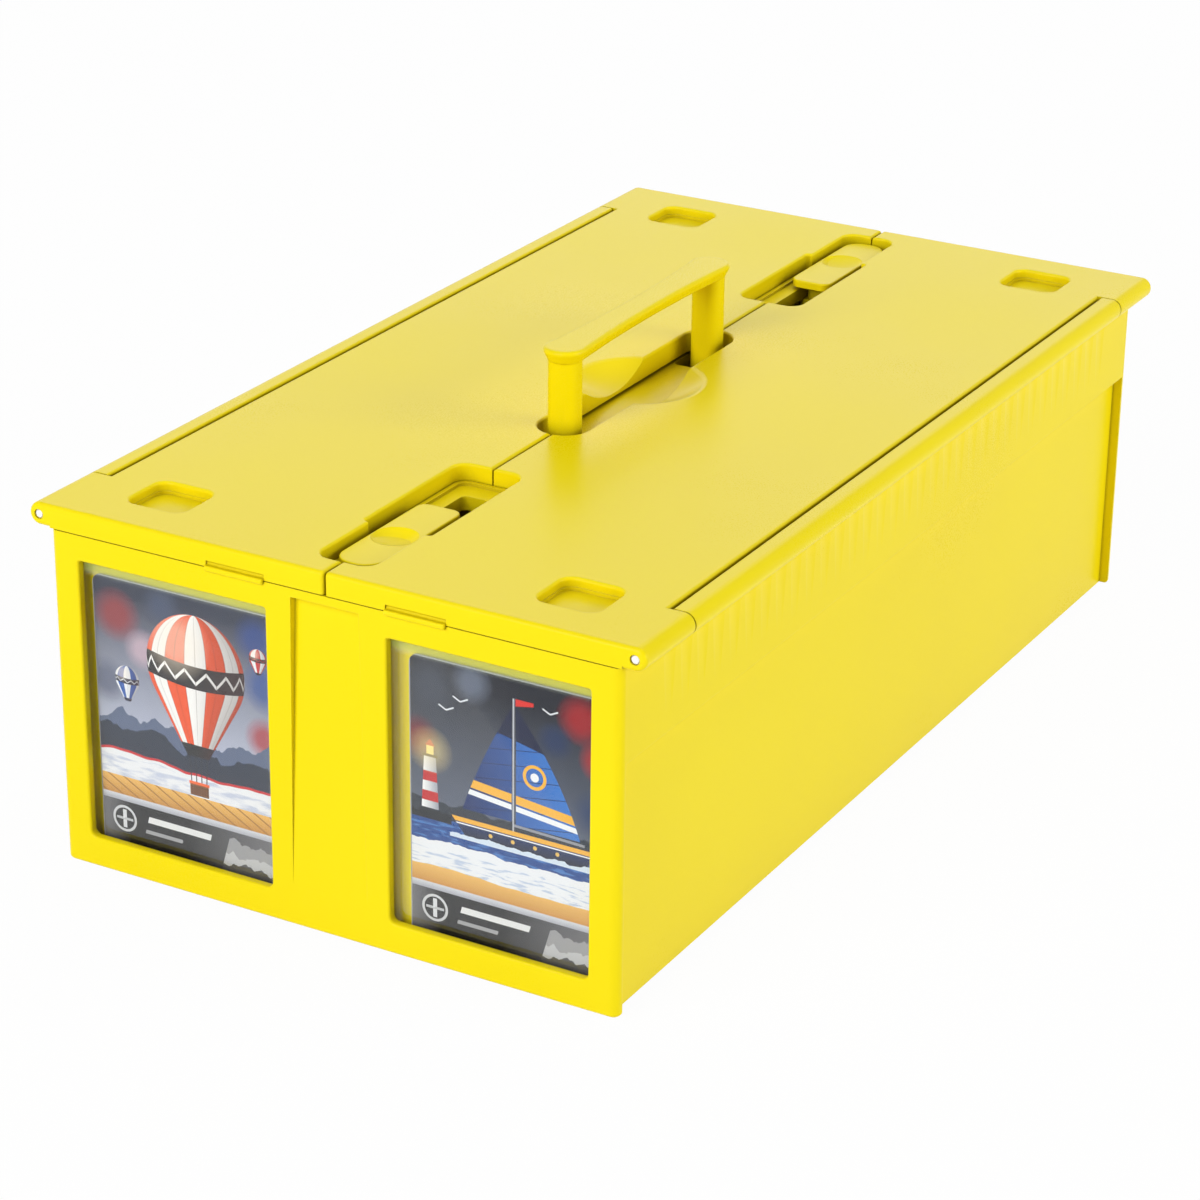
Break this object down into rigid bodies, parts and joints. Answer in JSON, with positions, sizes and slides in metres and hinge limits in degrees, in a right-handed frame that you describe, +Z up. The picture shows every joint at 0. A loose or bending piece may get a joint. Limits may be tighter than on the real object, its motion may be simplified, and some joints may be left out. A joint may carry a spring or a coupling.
{
  "type": "card storage box",
  "caption": "Two-row card storage case with hinged lids, lift-up carrying handle, sliding latches and card windows in its ends.",
  "frame": {"origin": "middle of the case, on the surface that its feet stand on", "axes": "+X to the right of the front end, +Y from the front end to the rear end, +Z up"},
  "size_m": [0.1988, 0.3522, 0.1395],
  "materials": {
    "case_plastic": "yellow injection-moulded plastic, fine satin texture",
    "screw_steel": "zinc plated",
    "pin_steel": "bright drawn",
    "clear_plastic": "clear, polished",
    "card_stock": "printed and coated card"
  },
  "bodies": {
    "base": {"tub": "case_plastic", "stacking_feet": "case_plastic", "centre_spine": "case_plastic", "spine_cap": "case_plastic", "cap_screws": "screw_steel", "spine_screws": "screw_steel", "hinge_pin_front_left": "pin_steel", "hinge_pin_front_right": "pin_steel", "hinge_pin_rear_left": "pin_steel", "hinge_pin_rear_right": "pin_steel", "window_pane_front_left": "clear_plastic", "window_pane_front_right": "clear_plastic", "window_pane_rear_left": "clear_plastic", "window_pane_rear_right": "clear_plastic", "display_card_left": "card_stock", "display_card_right": "card_stock"},
    "left_lid": {"left_lid": "case_plastic"},
    "right_lid": {"right_lid": "case_plastic"},
    "handle": {"handle": "case_plastic", "handle_stop_front": "case_plastic", "handle_stop_rear": "case_plastic", "handle_stop_screws": "screw_steel"},
    "front_latch": {"front_latch_slider": "case_plastic", "front_latch_keeper": "case_plastic", "front_latch_screws": "screw_steel"},
    "rear_latch": {"rear_latch_slider": "case_plastic", "rear_latch_keeper": "case_plastic", "rear_latch_screws": "screw_steel"}
  },
  "joints": [
    {"name": "left_lid_hinge", "type": "hinge", "parent": "base", "child": "left_lid", "pos_m": [-0.096, 0, 0.111], "axis": [0, -1, 0], "range_deg": [0, 260]},
    {"name": "right_lid_hinge", "type": "hinge", "parent": "base", "child": "right_lid", "pos_m": [0.096, 0, 0.111], "axis": [0, 1, 0], "range_deg": [0, 260]},
    {"name": "handle_lift", "type": "slide", "parent": "base", "child": "handle", "axis": [0, 0, 1], "range_m": [-0.0251, 0]},
    {"name": "front_latch_slide", "type": "slide", "parent": "base", "child": "front_latch", "axis": [0, -1, 0], "range_m": [-0.0245, 0.0045]},
    {"name": "rear_latch_slide", "type": "slide", "parent": "base", "child": "rear_latch", "axis": [0, 1, 0], "range_m": [-0.028, 0.001]}
  ]
}
